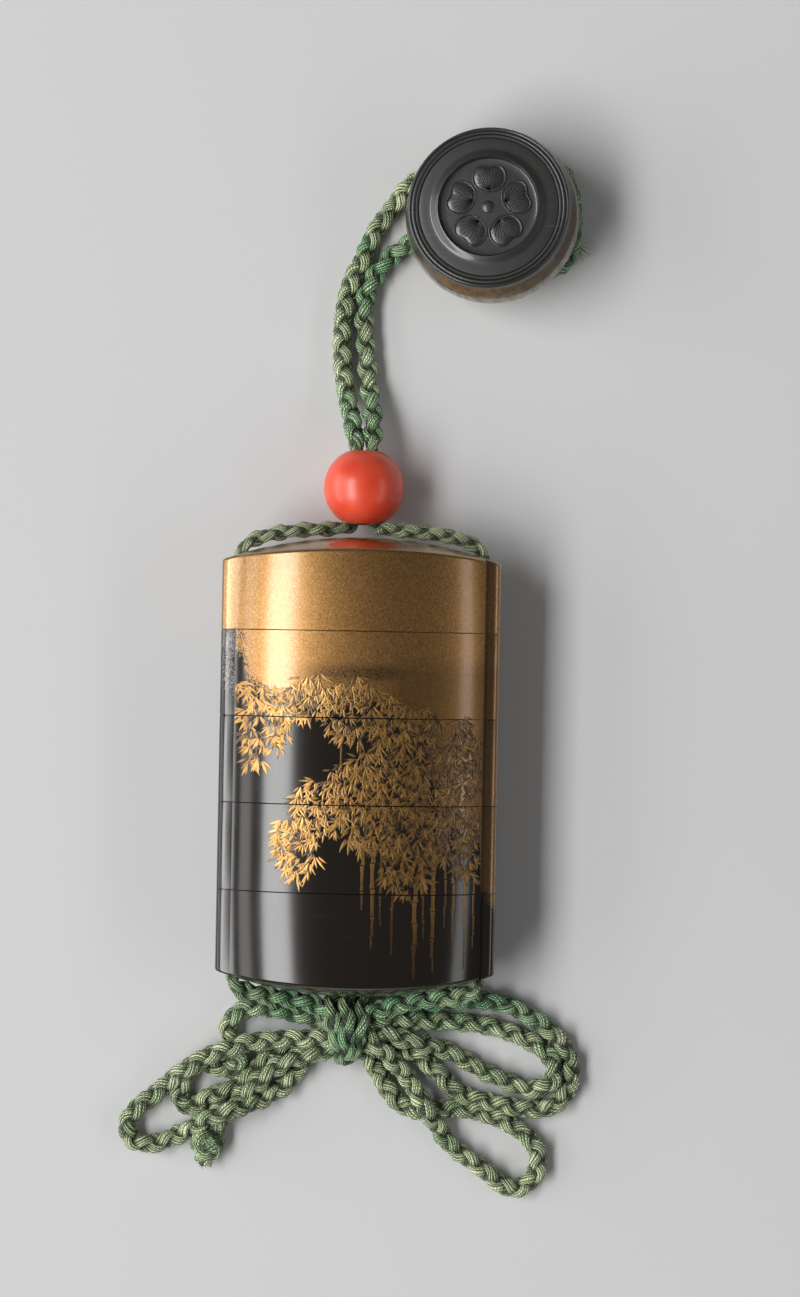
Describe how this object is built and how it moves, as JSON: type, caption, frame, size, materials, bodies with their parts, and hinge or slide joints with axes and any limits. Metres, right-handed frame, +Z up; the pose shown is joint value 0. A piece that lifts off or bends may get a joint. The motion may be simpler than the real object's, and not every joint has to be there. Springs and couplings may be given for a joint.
{
  "type": "lacquered inro case",
  "caption": "Slim stacked lacquer case with a lift-off lid and nesting trays, carried on a silk cord with a round sliding bead and a round two-part toggle",
  "frame": {"origin": "middle of the flat strip on the case's back that the case rests on", "axes": "+Z up through the case's front, +Y along the case from its foot to its lid and on to the toggle, +X to the right seen from above"},
  "size_m": [0.0923, 0.2127, 0.025],
  "materials": {
    "gold_lacquer": "gold powder lacquer on a thin wooden core, polished",
    "black_lacquer": "black-brown lacquer on a thin wooden core, polished, with gold powder painting",
    "coral": "polished red coral",
    "dark_horn": "carved dark buffalo horn, satin",
    "pale_horn": "carved streaked pale horn, satin",
    "silk": "plaited silk cord, olive and green"
  },
  "bodies": {
    "root": {"inro_lid": "gold_lacquer", "inro_case_1": "black_lacquer", "inro_case_2": "black_lacquer", "inro_case_3": "black_lacquer", "inro_case_4": "black_lacquer", "ojime_bead": "coral", "netsuke_upper": "dark_horn", "netsuke_lower": "pale_horn", "silk_cord": "silk"}
  },
  "joints": []
}
